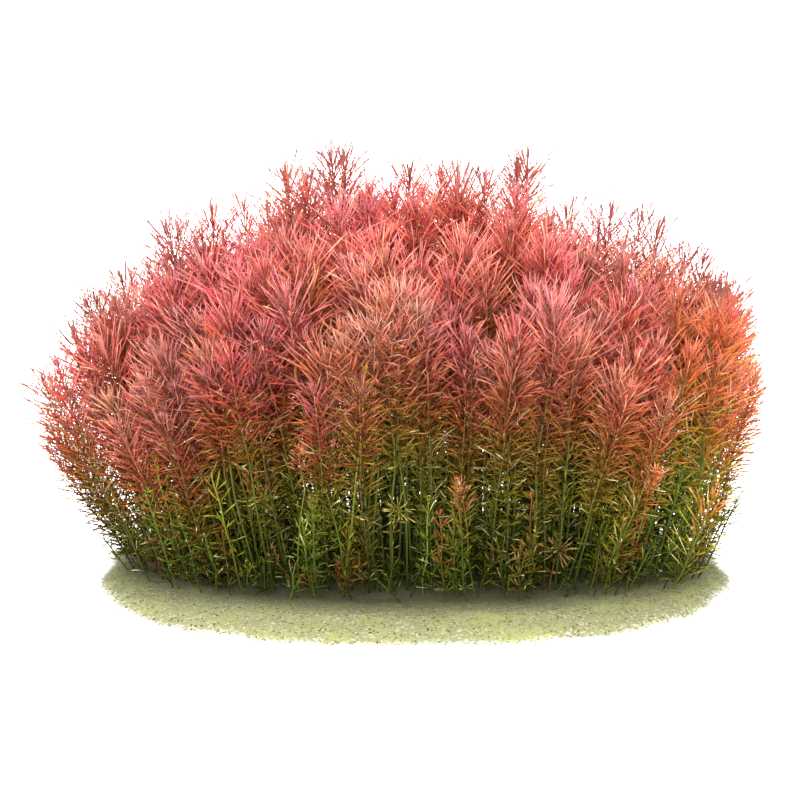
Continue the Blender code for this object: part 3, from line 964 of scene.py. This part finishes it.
# sand bed: rings out to the edge, of which the last fade out, with loose grains on top
sandForm = {
    "spokes": 160,
    "rings": 50,
    "inset": 0.997,
    "footFlare": 1.002,
    "edgeHeight": 0.0003,
    "probe": 0.003,
    "leastHeight": 0.0004,
    "grain": 0.0003,
    "grainScale": 900,
    "rimSpan": (0.945, 1.0),
    "rimWander": 0.022,
    "wanderScale": 45,
    "rimDrop": 0.6,
}
grainForm = {
    "inputs": {"Density": 200000.0, "Grain Size": 0.00036, "Seed": 3},
    "forms": 6,
    "formSeed": 4,
    "uneven": (0.7, 1.15),
    "leastUp": 0.3,
    "rimThinning": (0.0, 0.9, 1.0, 0.0),
    "lowTurn": (-0.4, -0.4, 0),
    "highTurn": (0.4, 0.4, 6.3),
    "size": (0.3, 1.0),
    "sizePower": 2.0,
    "sizeLeast": 0.5,
    "flatness": 0.6,
    "mostHeight": 0.8,
}
sandLook = {
    "cellScale": 1200.0,
    "stops": [
        (0.00, (0.02, 0.02, 0.01)),
        (0.05, (0.03, 0.03, 0.01)),
        (0.09, (0.10, 0.11, 0.03)),
        (0.15, (0.135, 0.135, 0.067)),
        (0.85, (0.16, 0.16, 0.082)),
        (1.00, (0.25, 0.25, 0.15)),
    ],
    "patch": {"Scale": 70.0, "Detail": 4.0},
    "patchShade": (0.38, 0.62, 0.06, -0.05),
    "patchRange": (0.48, 0.68, 0.0, 0.6),
    "patchColour": (0.19, 0.20, 0.07, 1),
    # painted shadow round the clump's feet
    "clumpHalf": (0.106, 0.057, 1.0),
    "mulmWander": (0.3, 0.7, -0.06, 0.06),
    "mulmRange": (1.00, 1.34, 0.95, 0.0),
    "mulmColour": (0.042, 0.042, 0.022, 1),
    "rimGain": 2.5,
    "rimRange": (0.7, 3.0, 0.0, 1.0),
    "rimPower": 2.0,
    "rimColour": (0.85, 0.85, 0.84, 1),
    "grain": {"Scale": 1800.0, "Detail": 2.0, "Strength": 0.3, "Distance": 0.0002},
    "roughness": 0.85,
    "specular": 0.1,
}


def makeSandMaterial(look):
    material, tree = newMaterial("paleSand")
    where = objectPlace(tree)
    cells = addNode(tree, "ShaderNodeTexVoronoi", {"Vector": where, "Scale": look["cellScale"]})
    cellTint = addValue(tree, "ShaderNodeSeparateColor", {"Color": cells.outputs["Color"]})
    grainTint = attributeValue(tree, "grainTint")
    isGrain = doMath(tree, "GREATER_THAN", grainTint, 0.0)
    shade = addValue(tree, "ShaderNodeMix", {0: isGrain, 2: cellTint, 3: grainTint}, data_type="FLOAT")
    patch = addValue(tree, "ShaderNodeTexNoise", {"Vector": where, **look["patch"]})
    # dark grains gather in patches
    shade = doMath(tree, "ADD", shade, mapRange(tree, patch, *look["patchShade"]))
    colour = colourRamp(tree, shade, look["stops"])
    colour = mixColour(tree, mapRange(tree, patch, *look["patchRange"]), colour, look["patchColour"])
    # painted shadow: the sand is darkened between the stems and just outside them, where the bush's shadow
    # falls
    flat = doVector(tree, "DIVIDE", doVector(tree, "MULTIPLY", where, (1, 1, 0)), look["clumpHalf"])
    outward = addNode(tree, "ShaderNodeVectorMath", {0: flat}, operation="LENGTH").outputs["Value"]
    outward = doMath(tree, "ADD", outward, mapRange(tree, patch, *look["mulmWander"]))
    colour = mixColour(tree, mapRange(tree, outward, *look["mulmRange"]), colour, look["mulmColour"])
    # the colour climbs slowly to white over the outer grains
    rim = doMath(tree, "MULTIPLY", attributeValue(tree, "rim"), look["rimGain"])
    rim = mapRange(tree, doMath(tree, "ADD", rim, shade), *look["rimRange"])
    colour = mixColour(tree, doMath(tree, "POWER", rim, look["rimPower"]), colour, look["rimColour"])
    grain = useGroup(tree, grainGroup, look["grain"])
    setSurface(tree, addSkin(tree, colour, look["roughness"], look["specular"], grain["Normal"]))
    return material


def buildSandSurface(form):
    copy = bmesh.new()
    copy.from_mesh(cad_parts["sand_bed"].data)
    tree = BVHTree.FromBMesh(copy)
    # rays look inwards from outside the bed for its edge, and down from above it for its top
    outside, above, down = 0.5, 0.05, Vector((0, 0, -1))
    probes = (0, form["probe"], -form["probe"])
    made = bmesh.new()
    rimLayer = made.verts.layers.float.new("rim")
    rings = []
    for r in range(form["rings"] + 1):
        share = r / form["rings"]
        ring = []
        for s in range(form["spokes"]):
            angle = 2 * math.pi * s / form["spokes"]
            way = Vector((math.cos(angle), math.sin(angle), 0))
            edge = tree.ray_cast(way * outside + Vector((0, 0, form["edgeHeight"])), -way)[0]
            spot = Vector((edge.x, edge.y, 0)) * share * form["inset"]
            tops = [tree.ray_cast(spot + Vector((dx, 0, above)), down)[0] for dx in probes]
            z = max([t.z for t in tops if t] or [2 * form["leastHeight"]])
            wander = form["rimWander"] * noise.noise(spot * form["wanderScale"])
            fade = clamp(shareOf(share + wander, form["rimSpan"]))
            rough = form["grain"] * (1 - fade) * noise.noise(spot * form["grainScale"])
            z = z * (1 - form["rimDrop"] * fade) + rough
            vert = made.verts.new((spot.x, spot.y, max(z, form["leastHeight"])))
            vert[rimLayer] = fade
            ring.append(vert)
            if r == 0:
                break
        rings.append(ring)
    for r in range(form["rings"]):
        for s in range(form["spokes"]):
            t = (s + 1) % form["spokes"]
            if r == 0:
                made.faces.new((rings[0][0], rings[1][s], rings[1][t]))
            else:
                made.faces.new((rings[r][s], rings[r + 1][s], rings[r + 1][t], rings[r][t]))
    foot = []
    for vert in rings[-1]:
        low = made.verts.new((vert.co.x * form["footFlare"], vert.co.y * form["footFlare"], 0))
        low[rimLayer] = 1
        foot.append(low)
    for s in range(form["spokes"]):
        t = (s + 1) % form["spokes"]
        made.faces.new((rings[-1][s], foot[s], foot[t], rings[-1][t]))
    made.faces.new(list(reversed(foot)))
    bmesh.ops.recalc_face_normals(made, faces=made.faces)
    copy.free()
    return finishForm(made, "sandSurface")


def buildGrainForms(grains):
    draw = random.Random(grains["formSeed"])
    rack = bpy.data.collections.new("grainForms")
    ends = [(1, 0, 0), (0, 1, 0), (-1, 0, 0), (0, -1, 0), (0, 0, 1), (0, 0, -1)]
    for i in range(grains["forms"]):
        form = bmesh.new()
        verts = [form.verts.new(Vector(e) * draw.uniform(*grains["uneven"])) for e in ends]
        for k in range(4):
            form.faces.new((verts[k], verts[(k + 1) % 4], verts[4]))
            form.faces.new((verts[(k + 1) % 4], verts[k], verts[5]))
        name = f"grainForm{i}"
        rack.objects.link(bpy.data.objects.new(name, finishForm(form, name)))
    return rack


def buildGrainTree(form):
    sockets = {
        "Geometry": ("Geometry",),
        "Float": ("Density", "Grain Size"),
        "Int": ("Seed",),
        "Collection": ("Grain Forms",),
        "Material": ("Sand Material",),
    }
    tree, ask = newTree("looseGrains", sockets)
    seed = ask["Seed"]
    up = splitVector(tree, addValue(tree, "GeometryNodeInputNormal"))[2]
    upper = doMath(tree, "GREATER_THAN", up, form["leastUp"])
    keep = mapRange(tree, readAttribute(tree, "rim"), *form["rimThinning"])
    density = doMath(tree, "MULTIPLY", ask["Density"], keep)
    inputs = {"Mesh": ask["Geometry"], "Selection": upper, "Density": density, "Seed": seed}
    points = addValue(tree, "GeometryNodeDistributePointsOnFaces", inputs)
    inputs = {"Min": form["lowTurn"], "Max": form["highTurn"]}
    turn = addNode(tree, "FunctionNodeRandomValue", inputs, data_type="FLOAT_VECTOR")
    size = doMath(tree, "POWER", randomValue(tree, *form["size"], seed, 1), form["sizePower"])
    size = doMath(tree, "MULTIPLY", doMath(tree, "ADD", size, form["sizeLeast"]), ask["Grain Size"])
    height = splitVector(tree, addValue(tree, "GeometryNodeInputPosition"))[2]
    size = doMath(tree, "MINIMUM", size, doMath(tree, "MULTIPLY", height, form["mostHeight"]))
    scale = joinVector(tree, size, size, doMath(tree, "MULTIPLY", size, form["flatness"]))
    which = randomValue(tree, 0, form["forms"] - 1, seed, 2, "INT")
    grains = standForms(tree, points, ask["Grain Forms"], which, socketOf(turn.outputs, "Value"), scale)
    grainTint = randomValue(tree, 0.002, 1.0, seed, 3)
    grains = storeAttribute(tree, grains, "grainTint", grainTint, domain="INSTANCE")
    whole = setMaterial(tree, joinMeshes(tree, ask["Geometry"], grains), ask["Sand Material"])
    endTree(tree, {"Geometry": ("Geometry", whole)})
    return tree


source = linkObject("sandSource", buildSandSurface(sandForm))
modifier = source.modifiers.new("grains", "NODES")
modifier.node_group = buildGrainTree(grainForm)
grainExtras = {"Grain Forms": buildGrainForms(grainForm), "Sand Material": makeSandMaterial(sandLook)}
setInputs(modifier, {**grainForm["inputs"], **grainExtras})
for name, piece in bakePieces([("sand", source)], "_surface"):
    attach(piece, "root")
    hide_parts("sand_bed")
    print("sand dressed:", countTriangles(piece.data), "triangles")


# floor, light and camera
studio = {
    "floor": {"colour": (0.85, 0.85, 0.85, 1), "half": 8, "roughness": 0.9, "specular": 0.5},
    "surround": 2.9,
    "backdrop": 1.05,
    "suns": {
        "topSun": {"way": (-0.10, 0.20, 1.0), "angle": math.radians(50), "power": 7.6},
        "frontSun": {"way": (-0.20, -1.0, 0.45), "angle": math.radians(50), "power": 3.6},
    },
}
view = {
    "elevation": math.radians(14),
    "distance": 1.30,
    "target": (-0.0052, 0.0, 0.0783),
    "frameWidth": 0.336,
    "sensor": 36,
    "reach": 20,
}


def buildFloor(look):
    form = bmesh.new()
    bmesh.ops.create_grid(form, x_segments=1, y_segments=1, size=look["half"])
    mesh = finishForm(form, "floor")
    material, tree = newMaterial("paleFloor")
    setSurface(tree, addSkin(tree, look["colour"], look["roughness"], look["specular"]))
    mesh.materials.append(material)
    linkObject("floor", mesh)


def buildWorld(surround, backdrop):
    world = bpy.data.worlds.new("studio")
    bpy.context.scene.world = world
    world.use_nodes = True
    tree = world.node_tree
    tree.nodes.clear()
    seen = addValue(tree, "ShaderNodeBackground", {"Color": (1, 1, 1, 1), "Strength": backdrop})
    lit = addValue(tree, "ShaderNodeBackground", {"Color": (1, 1, 1, 1), "Strength": surround})
    ray = addNode(tree, "ShaderNodeLightPath").outputs["Is Camera Ray"]
    both = addValue(tree, "ShaderNodeMixShader", {0: ray, 1: lit, 2: seen})
    output = addNode(tree, "ShaderNodeOutputWorld")
    tree.links.new(both, output.inputs["Surface"])


def addSun(name, way, angle, power):
    light = bpy.data.lights.new(name, "SUN")
    light.energy = power
    light.angle = angle
    lamp = linkObject(name, light)
    lamp.rotation_euler = (-Vector(way)).to_track_quat("-Z", "Y").to_euler()


def buildCamera(view):
    data = bpy.data.cameras.new("camera")
    data.sensor_width = view["sensor"]
    data.lens = view["sensor"] * view["distance"] / view["frameWidth"]
    data.clip_end = view["reach"]
    camera = linkObject("camera", data)
    back = Vector((0, -math.cos(view["elevation"]), math.sin(view["elevation"])))
    camera.location = Vector(view["target"]) + back * view["distance"]
    camera.rotation_euler = (-back).to_track_quat("-Z", "Y").to_euler()
    bpy.context.scene.camera = camera


buildFloor(studio["floor"])
buildWorld(studio["surround"], studio["backdrop"])
for name, sun in studio["suns"].items():
    addSun(name, sun["way"], sun["angle"], sun["power"])
buildCamera(view)
bpy.context.scene.view_settings.view_transform = "Standard"
print("studio set")
